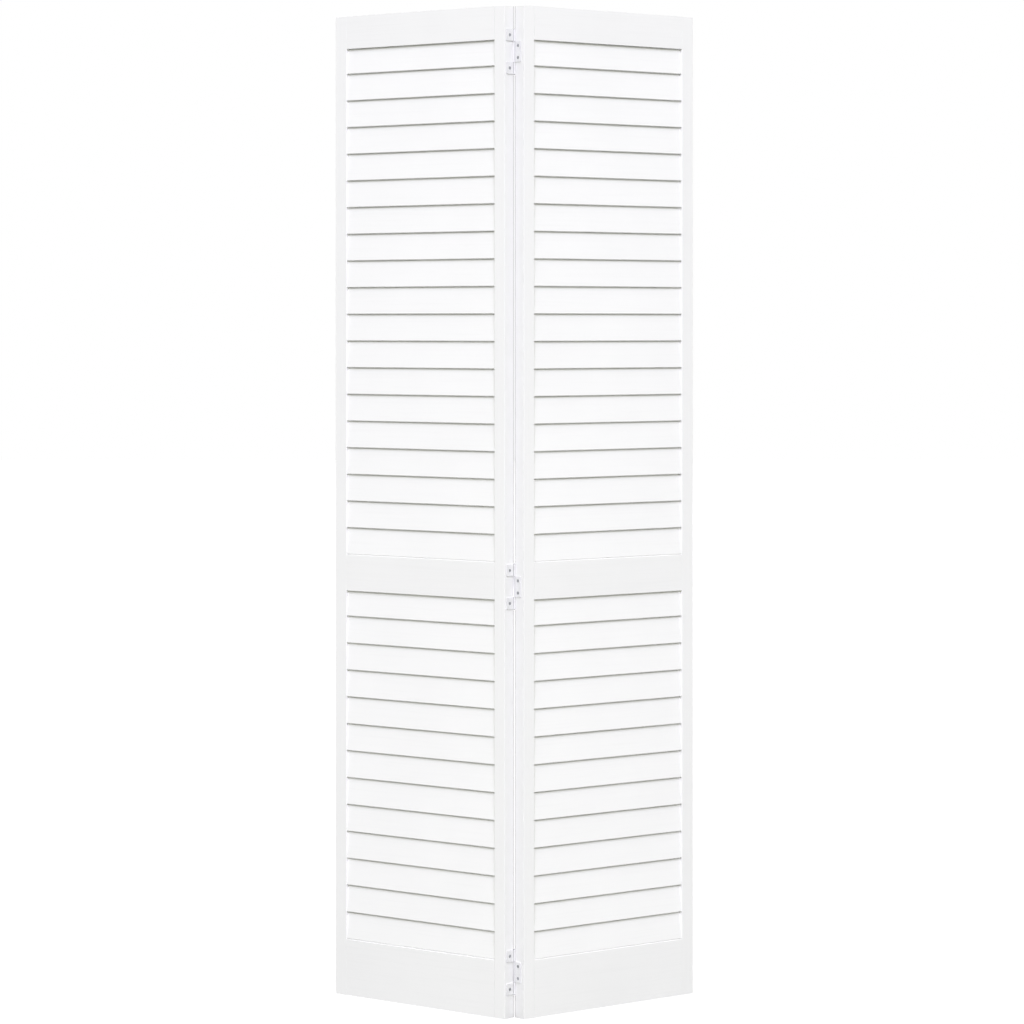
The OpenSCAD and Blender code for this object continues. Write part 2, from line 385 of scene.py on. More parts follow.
def blended(tree: Tree, share: Socket, first: object, second: object) -> Socket:
    """Adds a blend of two colours, from the first at a share of 0 to the second at 1."""
    return add_node(
        tree, "Mix", {0: share, 6: first, 7: second}, data_type="RGBA").outputs[2]


def moved(tree: Tree, place: Socket, **change: object) -> Socket:
    """Adds a change of place, by a Location, a Rotation or a Scale."""
    return add_node(
        tree, "Mapping", {"Vector": place, **change}, vector_type="POINT").outputs[0]


def bumped(tree: Tree, height: Socket, depth: float, **under: Socket) -> Socket:
    """Adds a bump of a depth in metres, over the Normal of another if that is given."""
    return add_node(
        tree, "Bump", {"Height": height, "Distance": depth, **under}).outputs[0]


def surfaced(tree: Tree, colour: Socket, roughness: "Socket | float", normal: Socket,
             **more: float) -> None:
    """Ends a material's tree with its surface, which may also have an IOR or be Metallic."""
    surface = add_node(tree, "BsdfPrincipled", {
        "Base Color": colour, "Roughness": roughness, "Normal": normal, **more})
    add_node(tree, "OutputMaterial", {"Surface": surface.outputs[0]})


class Run(Enum):
    """The way that a piece's grain runs, as the letter of its axis in the flat door."""

    UP = "Z"
    ACROSS = "X"


# In the finishes, a band is the part of a noise over which its effect rises from none to full.


@dataclass(frozen=True)
class SprayedPaint:
    """White satin paint, sprayed on sanded wood.

    The film is even, with a fine orange peel. The grain of the wood telegraphs through it as
    shallow lines along the piece, and its coverage varies a little from place to place. On the
    edges that face each other across the pins it carries painted shade, darker towards the pins.
    """

    name: str
    run: Run
    colour: str = "#f3f3f3"
    thin_colour: str = "#efefef"
    roughness: Pair = (0.40, 0.48)
    ior: float = 1.48
    # Orange peel has cells of about 1.5 mm. They are drawn at 4 mm, the least that shows.
    peel_cell: float = 4 * MM
    peel_depth: float = 0.012 * MM
    # Grain lines lie about 1 mm apart and run for 150 mm or more. They are drawn at 3 mm.
    grain_gap: float = 3 * MM
    grain_length: float = 180 * MM
    grain_depth: float = 0.02 * MM
    grain_roughness: float = 0.55
    # The spray passes overlap about every 150 mm.
    pass_width: float = 150 * MM
    cover_band: Pair = (0.35, 0.7)
    line_band: Pair = (0.5, 0.75)
    # The share that the grain lines have in the thinning. The passes have the rest.
    line_share: float = 0.5
    gloss_band: Pair = (0.3, 0.7)
    # A facing edge lies this close to the plane between the panels in the flat door, and gets
    # painted shade that darkens over this depth towards the pins.
    fold_shade_reach: float = 1.4 * MM
    fold_shade_depth: float = 28.4 * MM
    # The painted shade's colours, from the front face at 0 to the pins at 1.
    fold_shade_tones: tuple[tuple[float, str], ...] = (
        (0.0, "#f1f1f1"), (0.5, "#ededed"), (0.9, "#ebebeb"), (0.96, "#a4a4a4"))

    def in_joint(self, tree: Tree, flat: Socket, film: Socket) -> Socket:
        """Paints shade on the edges that face each other across the pins, darker towards the
        pins.

        Args:
            tree: The material's tree.
            flat: The place in the flat door.
            film: The film's colour elsewhere.

        Returns:
            The film's colour, with the painted shade on those edges.
        """
        spot = add_node(tree, "SeparateXYZ", {"Vector": flat})
        aside = calculated(tree, "ABSOLUTE", spot.outputs["X"])
        fold_shade_mask = calculated(tree, "LESS_THAN", aside, self.fold_shade_reach)
        depth = spread(tree, spot.outputs["Y"], (-self.fold_shade_depth, 0.0))
        shade_ramp = add_node(tree, "ValToRGB", {"Fac": depth})
        stops = shade_ramp.color_ramp.elements
        for _ in self.fold_shade_tones[len(stops):]:
            stops.new(1.0)
        for stop, (at, tone) in zip(stops, self.fold_shade_tones):
            stop.position, stop.color = at, linear(tone)
        return blended(tree, fold_shade_mask, film, shade_ramp.outputs[0])

    def material(self, turn: float, pin: Vector) -> Material:
        """Builds the material for pieces of one panel.

        Args:
            turn: The panel's turn about the pins from its flat place, in radians.
            pin: A point on the pins' axis.

        Returns:
            The material.
        """
        material, tree = new_material(self.name)
        place = add_node(tree, "TexCoord").outputs["Object"]
        flat = moved(tree, place, Location=Matrix.Rotation(-turn, 4, "Z") @ -pin,
                     Rotation=(0, 0, -turn))
        gap, length = 1 / self.grain_gap, 1 / self.grain_length
        stretch = (gap, gap, length) if self.run is Run.UP else (length, gap, gap)
        grain = noise(tree, moved(tree, flat, Scale=stretch), 1, detail=3,
                      roughness=self.grain_roughness)
        peel = noise(tree, flat, 1 / self.peel_cell, detail=1)
        passes = noise(tree, flat, 1 / self.pass_width, detail=2)
        lines = spread(tree, grain, self.line_band, (0.0, self.line_share))
        thin = calculated(tree, "MULTIPLY_ADD", spread(tree, passes, self.cover_band),
                          1 - self.line_share, lines)
        film = blended(tree, thin, linear(self.colour), linear(self.thin_colour))
        gloss = spread(tree, passes, self.gloss_band, self.roughness)
        wood = bumped(tree, grain, self.grain_depth)
        skin = bumped(tree, peel, self.peel_depth, Normal=wood)
        # The edges that face each other across the pins get painted shade, darker towards the
        # pins.
        surfaced(tree, self.in_joint(tree, flat, film), gloss, skin, IOR=self.ior)
        return material


@dataclass(frozen=True)
class StoveEnamel:
    """White stove enamel on pressed steel.

    It is a shade greyer and glossier than the paint on the wood, and pulls slightly thin over
    the plate in soft patches. Its cut front edges that look outward carry painted shade.
    """

    name: str = "stove_enamel_on_pressed_steel"
    colour: str = "#e9e9ea"
    thin_colour: str = "#dfdfe1"
    # The colour of the painted shade on the outward-looking cut front edges.
    edge_shade_colour: str = "#cfcfd0"
    # Of what shows, only these edges look away from the fold's middle plane and lie well to its
    # side: their distance from it, times how squarely they look away, is more than this.
    edge_shade_offset: float = 4 * MM
    roughness: Pair = (0.24, 0.36)
    ior: float = 1.5
    # The enamel levels out to ripples of about 2 mm.
    ripple: float = 2 * MM
    ripple_depth: float = 0.01 * MM
    patch: float = 9 * MM
    thin_band: Pair = (0.35, 0.75)
    gloss_band: Pair = (0.3, 0.7)

    def material(self) -> Material:
        """Builds the material."""
        material, tree = new_material(self.name)
        spot = add_node(tree, "TexCoord")
        place = spot.outputs["Object"]
        aside, away = (
            add_node(tree, "SeparateXYZ", {"Vector": vector}).outputs["X"]
            for vector in (place, spot.outputs["Normal"]))
        # Painted shade: the cut edges that look outward, well to the side of the fold, are
        # coloured darker.
        edge = calculated(tree, "GREATER_THAN", calculated(tree, "MULTIPLY", aside, away),
                          self.edge_shade_offset)
        patches = noise(tree, place, 1 / self.patch, detail=2)
        ripples = noise(tree, place, 1 / self.ripple, detail=1)
        film = blended(tree, spread(tree, patches, self.thin_band), linear(self.colour),
                       linear(self.thin_colour))
        gloss = spread(tree, patches, self.gloss_band, self.roughness)
        surfaced(tree, blended(tree, edge, film, linear(self.edge_shade_colour)), gloss,
                 bumped(tree, ripples, self.ripple_depth), IOR=self.ior)
        return material


@dataclass(frozen=True)
class ZincPlate:
    """Zinc plate on cold-headed steel: dull grey, with a fine crystalline mottle."""

    name: str
    colour: str = "#b4b6b9"
    dull_colour: str = "#96989b"
    roughness: Pair = (0.32, 0.5)
    # The zinc's spangle is a few tenths of a millimetre across. It is drawn at 0.8 mm.
    spangle: float = 0.8 * MM
    spangle_depth: float = 0.01 * MM
    # The mottle is twice as coarse as the spangle.
    mottle: float = 1.6 * MM
    gloss_band: Pair = (0.0, 0.8)

    def material(self) -> Material:
        """Builds the material."""
        material, tree = new_material(self.name)
        place = add_node(tree, "TexCoord").outputs["Object"]
        crystals = add_node(tree, "TexVoronoi", {"Vector": place, "Scale": 1 / self.spangle},
                            feature="F1").outputs[0]
        film = blended(tree, noise(tree, place, 1 / self.mottle, detail=3),
                       linear(self.colour), linear(self.dull_colour))
        gloss = spread(tree, crystals, self.gloss_band, self.roughness)
        surfaced(tree, film, gloss, bumped(tree, crystals, self.spangle_depth), Metallic=1.0)
        return material


@dataclass(frozen=True)
class TurnedBeech:
    """Bare turned beech: pale tan, with darker flecks along the grain."""

    name: str
    colour: str = "#cfae84"
    fleck_colour: str = "#b08a5f"
    roughness: float = 0.62
    # The rays of beech show as flecks about 0.5 mm wide and 3 mm long. They are drawn double.
    fleck_width: float = 1 * MM
    fleck_length: float = 6 * MM
    fleck_depth: float = 0.03 * MM
    fleck_band: Pair = (0.48, 0.7)

    def material(self, turn: float) -> Material:
        """Builds the material for the dowels of one panel.

        Args:
            turn: The panel's turn about the pins from its flat place, in radians.

        Returns:
            The material.
        """
        material, tree = new_material(self.name)
        place = add_node(tree, "TexCoord").outputs["Object"]
        flat = moved(tree, place, Rotation=(0, 0, -turn))
        along = moved(tree, flat, Scale=(
            1 / self.fleck_length, 1 / self.fleck_width, 1 / self.fleck_width))
        grain = noise(tree, along, 1, detail=4)
        wood = blended(tree, spread(tree, grain, self.fleck_band), linear(self.colour),
                       linear(self.fleck_colour))
        surfaced(tree, wood, self.roughness, bumped(tree, grain, self.fleck_depth))
        return material


# ---------- the folded door ----------


class Side(Enum):
    """A panel, by the side of the fold that it lies on, with its sign in the flat door."""

    LEFT = -1
    RIGHT = 1

    @property
    def body(self) -> str:
        """The body that the panel belongs to."""
        return "jamb_panel" if self is Side.LEFT else "lead_panel"

    @property
    def outer_stile(self) -> str:
        """The node of the panel's outer stile."""
        return "left_jamb_stile" if self is Side.LEFT else "right_lead_stile"

    def named(self, rest: str) -> str:
        """The name of something on this side."""
        return f"{self.name.lower()}_{rest}"


@dataclass(frozen=True)
class Fold:
    """The fold at rest: the pins' axis, and each panel's turn from flat."""

    pin: Vector
    half: float

    @classmethod
    def at_rest(cls) -> "Fold":
        """Reads the fold from the frame's joint, whose lower limit is the flat door."""
        joint = next(j for j in frame["joints"] if j["name"] == "fold")
        return cls(Vector(joint["pos_m"]), math.radians(-joint["range_deg"][0]) / 2)

    def turn(self, side: Side) -> float:
        """The turn of a side's panel about the pins, in radians."""
        return side.value * self.half

    def fit(self, piece: Object, side: Side, node: str, slot: str,
            material: Material) -> None:
        """Takes a finished piece from its flat place to the folded door, for its CAD node.

        Args:
            piece: The piece, in its flat place.
            side: The panel that it moves with.
            node: The CAD node that it replaces.
            slot: The record's material slot. It is not used.
            material: Its material.
        """
        piece.rotation_euler.z = self.turn(side)
        piece.location = self.pin
        dress(settle(piece), material)
        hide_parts(node)
        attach(piece, side.body)
        log.info("%s: %d faces, on %s", piece.name, len(piece.data.polygons), side.body)


@dataclass(frozen=True)
class HingeSizes:
    """The sizes of one surface hinge, and how it sits between the stile edges.

    Reaches, and distances with back in their name, start at the panel's back face.
    """

    height: float = 88.9 * MM
    centre_height: float = 41 * MM
    end_reach: float = 23.5 * MM
    centre_reach: float = 19.5 * MM
    leaf: float = 1.4 * MM
    leaf_gap: float = 0.4 * MM
    leaf_break: float = 0.12 * MM
    corner: float = 2 * MM
    pin_r: float = 1.4 * MM
    pin_clear: float = 0.05 * MM
    head_r: float = 2.3 * MM
    head_h: float = 1.2 * MM
    # A head's outline, as shares of its height from the end and of its radius.
    head_dome: tuple[Pair, ...] = ((0, 0.55), (0.12, 0.76), (0.35, 0.93), (0.65, 1), (1, 1))
    # The pins' axis lies this far behind the back faces.
    setback: float = 0.2 * MM
    barrel_clear: float = 0.35 * MM
    cove_end: float = 1 * MM
    # The inner radius of the bend that leads to the barrel, and the slack between their arcs.
    bend: float = 0.8 * MM
    roll_slack: float = 0.05 * MM
    curl: float = math.radians(300)
    curl_steps: int = 24
    stile_ease: float = 0.8 * MM
    screw_r: float = 1.5 * MM
    screw_head_r: float = 3.3 * MM
    # How far a head's rim is taken in, at the face and at a depth under it.
    screw_rim: tuple[Pair, ...] = ((0, 0.132 * MM), (0.12 * MM, 0.06 * MM))
    screw_length: float = 16 * MM
    screw_point: float = 3 * MM
    screw_tip_r: float = 0.1 * MM
    screw_clear: float = 0.1 * MM
    end_screw_back: float = 14 * MM
    centre_screw_back: float = 11.5 * MM
    centre_screw_off: float = 12 * MM
    plain_shank: float = 1 * MM
    thread_pitch: float = 1.2 * MM
    # One ridge of the thread, as shares of the pitch and of the shank's radius there.
    thread_ridge: tuple[Pair, ...] = ((0.25, 0.72), (0.6, 0.72), (0.85, 1), (1, 0.98))
    # The cross recess: its arms' length and width, its depth, and how far it narrows.
    recess_arm: float = 3.6 * MM
    recess_slot: float = 0.9 * MM
    recess_depth: float = 1.3 * MM
    recess_taper: float = 0.55

    @property
    def edge_gap(self) -> float:
        """The gap between the stile edges of the flat door."""
        return self.leaf + self.leaf_gap

    @property
    def barrel_r(self) -> float:
        """The outer radius of the rolled barrels."""
        return self.pin_r + self.pin_clear + self.leaf

    @property
    def end_height(self) -> float:
        """The height of one end leaf."""
        return (self.height - self.centre_height) / 2 - self.leaf_gap

    @property
    def end_middle(self) -> float:
        """How far the middle of an end leaf is from the hinge's middle."""
        return (self.height - self.end_height) / 2

    @property
    def head_depth(self) -> float:
        """The depth of a screw's countersunk head."""
        return self.screw_head_r - self.screw_r

    def screw_seats(self, side: Side) -> list[Pair]:
        """The seats of a side's screws, as distances from the back face and from the middle."""
        back, off = ((self.end_screw_back, self.end_middle) if side is Side.LEFT
                     else (self.centre_screw_back, self.centre_screw_off))
        return [(back, -off), (back, off)]

    def screw_top(self, side: Side, from_back: float, z: float) -> Vector:
        """The point, in the flat door, on the face of the leaf at the middle of a screw."""
        return Vector((side.value * (self.edge_gap / 2 - self.leaf),
                       -self.setback - from_back, z))

    def cove(self, z: float) -> Object:
        """Makes the cutter for the cove that lets a hinge's barrels into a stile's corner.

        Args:
            z: The height of the hinge's middle.

        Returns:
            The cutter.
        """
        half = self.height / 2 + self.head_h + self.cove_end
        reach = self.barrel_r + self.barrel_clear
        return turned("cove", Vector((0, 0, z)), Vector((0, 0, 1)),
                      [(-half, reach), (half, reach)], segments=64)

    def screw_hole(self, side: Side, from_back: float, z: float) -> Object:
        """Makes the cutter for one screw's countersunk hole, through leaf and stile.

        Args:
            side: The panel that the screw goes into.
            from_back: The screw's distance from the back face.
            z: Its height.

        Returns:
            The cutter.
        """
        head, shank = self.screw_head_r + self.screw_clear, self.screw_r + self.screw_clear
        return turned(
            "screw_hole", self.screw_top(side, from_back, z), Vector((side.value, 0, 0)),
            [(-OVERCUT, head), (0, head), (self.head_depth, shank),
             (self.screw_length + self.screw_clear, shank)])


@dataclass
class Hinge:
    """One surface hinge: two end leaves on the left panel, a centre leaf on the right one."""

    name: str
    z: float
    fold: Fold
    sizes: HingeSizes
    enamel: Material
    pin_zinc: Material
    screw_zinc: Material

    def leaf(self, side: Side, z: float, height: float, reach: float,
             screws: Sequence[Pair]) -> Object:
        """Makes one leaf from a sheet: rounded corners, a rolled barrel and countersunk holes.

        The sheet runs back along the stile edge, bends out into the cove in the stile's
        corner, and then curls the other way round the pin.

        Args:
            side: The panel that it is screwed to.
            z: The height of its middle.
            height: Its height.
            reach: How far it reaches across the stile edge from the back face.
            screws: Each screw's distance from the back face and its height.

        Returns:
            The leaf, in its flat place.
        """
        k, s = self.sizes, side.value
        bend_r = k.bend + k.leaf / 2
        roll_r = k.barrel_r - k.leaf / 2
        to_pin = bend_r + roll_r + k.roll_slack
        beside = k.edge_gap / 2 + k.bend
        bend_at = Vector((s * beside, -math.sqrt(to_pin ** 2 - beside ** 2), z))
        bend = (math.atan2(-bend_at.y, abs(bend_at.x))
                - math.acos((bend_r + roll_r) / to_pin))
        run = math.sqrt(to_pin ** 2 - (bend_r + roll_r) ** 2)
        front, back = -k.setback - reach, bend_at.y
        bpy.ops.object.select_all(action="DESELECT")
        bpy.ops.mesh.primitive_plane_add(
            size=1, location=(s * (k.edge_gap - k.leaf) / 2, (front + back) / 2, z),
            rotation=(0, math.pi / 2, 0))
        obj = bpy.context.object
        obj.scale = (height, back - front, 1)
        settle(obj, f"{self.name}_leaf")
        pick_verts(obj, lambda v: v.y < front + NEAR)
        with editing(obj):
            bpy.ops.mesh.bevel(offset=k.corner, segments=EASE_STEPS, affect="VERTICES")
        pick_edges(obj, lambda a, b: min(a.y, b.y) > back - NEAR)
        with editing(obj):
            bpy.ops.mesh.spin(
                steps=EASE_STEPS, angle=s * bend, center=bend_at, axis=(0, 0, 1))
            bpy.ops.mesh.extrude_region_move(TRANSFORM_OT_translate={
                "value": (s * math.sin(bend) * run, math.cos(bend) * run, 0)})
            bpy.ops.mesh.spin(
                steps=k.curl_steps, angle=-s * k.curl, center=(0, 0, z), axis=(0, 0, 1))
            bpy.ops.mesh.select_all(action="SELECT")
            bpy.ops.mesh.remove_doubles(threshold=MERGE)
            bpy.ops.mesh.normals_make_consistent(inside=False)
        wall = obj.modifiers.new("plate", "SOLIDIFY")
        wall.thickness, wall.offset, wall.use_even_offset = k.leaf, 0, True
        apply_modifier(obj, wall)
        for from_back, at in screws:
            cut(obj, k.screw_hole(side, from_back, at))
        break_edges(obj, k.leaf_break)
        smooth(obj)
        return obj

    def build_leaves(self) -> None:
        """Makes the two end leaves and the centre leaf."""
        k = self.sizes
        ends = [self.leaf(Side.LEFT, self.z + at, k.end_height, k.end_reach,
                          [(from_back, self.z + at)])
                for from_back, at in k.screw_seats(Side.LEFT)]
        centre = self.leaf(
            Side.RIGHT, self.z, k.centre_height, k.centre_reach,
            [(from_back, self.z + at) for from_back, at in k.screw_seats(Side.RIGHT)])
        for side, node, leaves in ((Side.LEFT, f"{self.name}_end_leaves", ends),
                                   (Side.RIGHT, f"{self.name}_centre_leaf", [centre])):
            self.fold.fit(joined(f"{node}_enamelled", leaves), side, node, "hinge_leaf",
                          self.enamel)

    def build_pin(self) -> None:
        """Makes the pin, with a domed head formed on each end."""
        k = self.sizes
        shoulder = k.height / 2
        dome = [(shoulder + k.head_h * (1 - down), k.head_r * share)
                for down, share in k.head_dome]
        low = [(-at, radius) for at, radius in dome]
        pin = turned(f"{self.name}_pin_headed", Vector((0, 0, self.z)), Vector((0, 0, 1)),
                     low + [(-shoulder, k.pin_r), (shoulder, k.pin_r)] + dome[::-1])
        smooth(pin, angle=40)
        self.fold.fit(pin, Side.LEFT, f"{self.name}_pin", "hinge_pin", self.pin_zinc)

    def screw(self, side: Side, from_back: float, z: float) -> Object:
        """Makes one countersunk screw with a cross recess and ridged threads.

        Args:
            side: The panel that it goes into.
            from_back: Its distance from the back face.
            z: Its height.

        Returns:
            The screw, in its flat place.
        """
        k, top = self.sizes, self.sizes.screw_top(side, from_back, z)
        way = Vector((side.value, 0, 0))
        at, tip, pitch = k.head_depth + k.plain_shank, k.screw_length, k.thread_pitch
        stations = [(depth, k.screw_head_r - taken_in) for depth, taken_in in k.screw_rim]
        stations += [(k.head_depth, k.screw_r), (at, k.screw_r)]
        while at + pitch < tip:
            taper = min(1.0, (tip - at - pitch / 2) / k.screw_point)
            stations += [(at + along * pitch, share * k.screw_r * taper)
                         for along, share in k.thread_ridge]
            at += pitch
        stations.append((tip, k.screw_tip_r))
        obj = turned(f"{self.name}_screw", top, way, stations, segments=24)
        floor = top + way * k.recess_depth
        for tall, wide in ((k.recess_arm, k.recess_slot), (k.recess_slot, k.recess_arm)):
            half = Vector((0, wide / 2, tall / 2))
            slot = block("recess", top - half - way * OVERCUT, floor + half)
            pick_verts(slot, lambda v: (v.x - top.x) * side.value > 0)
            with editing(slot):
                bpy.ops.transform.resize(
                    value=(1, k.recess_taper, k.recess_taper), center_override=floor)
            cut(obj, slot)
        smooth(obj, angle=40)
        return obj

    def build_screws(self) -> None:
        """Makes the screws of the end leaves and of the centre leaf."""
        for side, leaf in ((Side.LEFT, "end"), (Side.RIGHT, "centre")):
            node = f"{self.name}_{leaf}_screws"
            pair = joined(f"{node}_driven", [
                self.screw(side, from_back, self.z + at)
                for from_back, at in self.sizes.screw_seats(side)])
            self.fold.fit(pair, side, node, "screw_steel", self.screw_zinc)

    def build(self) -> None:
        """Makes the whole hinge."""
        self.build_leaves()
        self.build_pin()
        self.build_screws()


@dataclass
class Panel:
    """One louvred panel: two stiles, three rails, two banks of slats and the dowels."""

    side: Side
    fold: Fold
    hinge: HingeSizes
    hinge_heights: Sequence[float]
    upright: Material
    level: Material
    beech: Material
    height: float = 2000 * MM
    width: float = 450 * MM
    thickness: float = 28.6 * MM
    hinge_stile_w: float = 26.5 * MM
    outer_stile_w: float = 30.2 * MM
    top_rail_h: float = 66.7 * MM
    mid_rail_h: float = 74 * MM
    mid_rail_z: float = 826.5 * MM
    bottom_rail_h: float = 114.3 * MM
    end_break: float = 0.4 * MM
    slat_w: float = 63.5 * MM
    slat_t: float = 4 * MM
    # A slat's long edges are rounded over this share of half its thickness, in so many steps.
    slat_round: float = 0.98
    slat_steps: int = 6
    slat_spacing: float = 54.7 * MM
    slat_gap: float = 0.5 * MM
    slat_recess: float = 1 * MM
    top_slat_trim: float = 2.7 * MM
    slat_housing: float = 8 * MM
    rail_gap: float = 0.4 * MM
    dowel_r: float = 4 * MM
    dowel_l: float = 30 * MM
    dowel_in_stile: float = 10 * MM
    clear: float = 0.1 * MM
    pivot_r: float = 4.76 * MM
    pivot_depth: float = 32 * MM
    pivot_inset: float = 19 * MM
    drill_point: float = math.radians(118)
    drill_tip_r: float = 0.02 * MM

    @property
    def openings(self) -> list[Pair]:
        """The upper and the lower opening, each by the heights of its lower and upper ends."""
        return [(self.mid_rail_z + self.mid_rail_h, self.height - self.top_rail_h),
                (self.bottom_rail_h, self.mid_rail_z)]

    def at(self, u: float, v: float, z: float) -> Vector:
        """A point in the flat door.

        Args:
            u: The distance from the panel's hinge edge.
            v: The distance from its front face.
            z: The height.

        Returns:
            The point.
        """
        return Vector((self.side.value * (self.hinge.edge_gap / 2 + u),
                       v - self.hinge.setback - self.thickness, z))

    @property
    def pivot_point(self) -> float:
        """The length of the cone that the drill's point leaves."""
        return self.pivot_r / math.tan(self.drill_point / 2)

    def dowel_heights(self, rail: str) -> list[float]:
        """The heights of a rail's two dowels, clear of the pivot holes.

        Args:
            rail: Top, middle or bottom.

        Returns:
            The two heights.
        """
        bored = self.pivot_depth + self.pivot_point
        low, free = {
            "top": (self.height - self.top_rail_h, self.top_rail_h - bored),
            "middle": (self.mid_rail_z, self.mid_rail_h),
            "bottom": (bored, self.bottom_rail_h - bored)}[rail]
        return [low + free / 4, low + free * 3 / 4]

    def dowel_holes(self, rail: str) -> Object:
        """Makes the cutter for the dowel holes at both ends of a rail.

        Args:
            rail: Top, middle or bottom.

        Returns:
            The cutter.
        """
        in_rail = self.dowel_l - self.dowel_in_stile
        starts = (self.hinge_stile_w - self.dowel_in_stile,
                  self.width - self.outer_stile_w - in_rail)
        way = Vector((self.side.value, 0, 0))
        return joined("dowel_holes", [
            turned("dowel_hole", self.at(u, self.thickness / 2, z), way,
                   [(-self.clear, self.dowel_r + self.clear),
                    (self.dowel_l + self.clear, self.dowel_r + self.clear)])
            for z in self.dowel_heights(rail) for u in starts])

    def slat_bank(self, name: str, opening: Pair, u0: float, u1: float,
                  grow: float = 0) -> Object:
        """Makes all the slats of an opening, or the cutter for their housings.

        A slat is a block with full-round long edges. It leans back, its copies are stepped up
        the opening, and the top one is sawn off level under the rail.

        Args:
            name: The bank's name.
            opening: The heights of the opening's lower and upper ends.
            u0: Where the slats start, from the panel's hinge edge.
            u1: Where they end.
            grow: How much larger each section is all round.

        Returns:
            The bank, in its flat place.
        """
        low, high = opening
        stretch = high - low + self.top_slat_trim
        count = round(stretch / self.slat_spacing)
        pitch = stretch / count
        r = self.slat_t / 2 + grow
        a, b = self.at(u0, 0, 0), self.at(u1, 0, 0)
        first = block("slat", Vector((a.x, -r, -r)),
                      Vector((b.x, r, self.slat_w - self.slat_t + r)))
        ease(first, self.slat_round * r, self.slat_steps, lambda p, q: abs(p.x - q.x) > r)
        first.rotation_euler.x = -math.asin((self.slat_t + self.slat_gap) / pitch)
        first.location = (0, a.y + self.slat_recess + self.slat_t / 2,
                          low + self.rail_gap + self.slat_t / 2)
        settle(first)
        slats = [first] + [copied(first, Vector((0, 0, i * pitch))) for i in range(1, count)]
        pick_verts(slats[-1], lambda v: True)
        with editing(slats[-1]):
            bpy.ops.mesh.bisect(
                plane_co=(0, 0, high - self.rail_gap + grow), plane_no=(0, 0, 1),
                clear_outer=True, use_fill=True)
        return joined(name, slats)

    def stile(self, name: str, outer: bool) -> None:
        """Makes one stile, with its eased edges, slat housings and drilled holes.

        Args:
            name: The node that it stands for.
            outer: Whether it is the outer stile, which has the pivot holes.
        """
        u0 = self.width - self.outer_stile_w if outer else 0
        u1 = self.width if outer else self.hinge_stile_w
        obj = block(f"{name}_painted", self.at(u0, 0, 0),
                    self.at(u1, self.thickness, self.height))
        ease(obj, self.hinge.stile_ease, EASE_STEPS,
             lambda p, q: abs(p.z - q.z) > self.height / 2)
        break_edges(obj, self.end_break, angle=60)
        housing = self.slat_housing + self.clear
        face = (u0 - OVERCUT, u0 + housing) if outer else (u1 - housing, u1 + OVERCUT)
        for opening in self.openings:
            cut(obj, self.slat_bank("housings", opening, *face, grow=self.clear))
        for rail in RAILS:
            cut(obj, self.dowel_holes(rail))
        if outer:
            for hole in self.pivot_holes():
                cut(obj, hole)
        else:
            for z in self.hinge_heights:
                cut(obj, self.hinge.cove(z))
                for from_back, off in self.hinge.screw_seats(self.side):
                    cut(obj, self.hinge.screw_hole(self.side, from_back, z + off))
        smooth(obj)
        self.fold.fit(obj, self.side, name, "painted_wood", self.upright)

    def pivot_holes(self) -> list[Object]:
        """Makes the cutters for the pivot holes: two in the left panel, one in the right."""
        ends = [(self.height, Vector((0, 0, -1)))]
        if self.side is Side.LEFT:
            ends.append((0.0, Vector((0, 0, 1))))
        outline = [(-OVERCUT, self.pivot_r), (self.pivot_depth, self.pivot_r),
                   (self.pivot_depth + self.pivot_point, self.drill_tip_r)]
        u, v = self.width - self.pivot_inset, self.thickness / 2
        return [turned("pivot_hole", self.at(u, v, z), way, outline, segments=48)
                for z, way in ends]

    def rail(self, rail: str, low: float, high: float) -> None:
        """Makes one rail, with its edges eased along the openings.

        Args:
            rail: Top, middle or bottom.
            low: The height of its lower edge.
            high: The height of its upper edge.
        """
        name = self.side.named(f"{rail}_rail")
        obj = block(f"{name}_painted", self.at(self.hinge_stile_w, 0, low),
                    self.at(self.width - self.outer_stile_w, self.thickness, high))
        levels = [z for z in (low, high) if 0 < z < self.height]
        ease(obj, self.hinge.stile_ease, EASE_STEPS, lambda p, q: any(
            max(abs(p.z - z), abs(q.z - z)) < NEAR for z in levels) and abs(p.x - q.x) > NEAR)
        cut(obj, self.dowel_holes(rail))
        smooth(obj)
        self.fold.fit(obj, self.side, name, "painted_wood", self.level)

    def slats(self) -> None:
        """Makes the two banks of slats."""
        u0 = self.hinge_stile_w - self.slat_housing
        u1 = self.width - self.outer_stile_w + self.slat_housing
        for bank, opening in zip(("upper_slats", "lower_slats"), self.openings):
            name = self.side.named(bank)
            obj = self.slat_bank(f"{name}_painted", opening, u0, u1)
            smooth(obj)
            self.fold.fit(obj, self.side, name, "painted_slats", self.level)

    def dowels(self) -> None:
        """Gives the dowels, whose CAD shape is right, their bare beech."""
        for rail in RAILS:
            name = self.side.named(f"{rail}_rail_dowels")
            dress(frame["nodes"][name], self.beech)
            log.info("%s: CAD shape kept", name)

    def build(self) -> None:
        """Makes the whole panel."""
        upper, lower = self.openings
        self.stile(self.side.outer_stile, outer=True)
        self.stile(self.side.named("hinge_stile"), outer=False)
        self.rail("top", upper[1], self.height)
        self.rail("middle", lower[1], upper[0])
        self.rail("bottom", 0, lower[0])
        self.slats()
        self.dowels()


# ---------- studio ----------


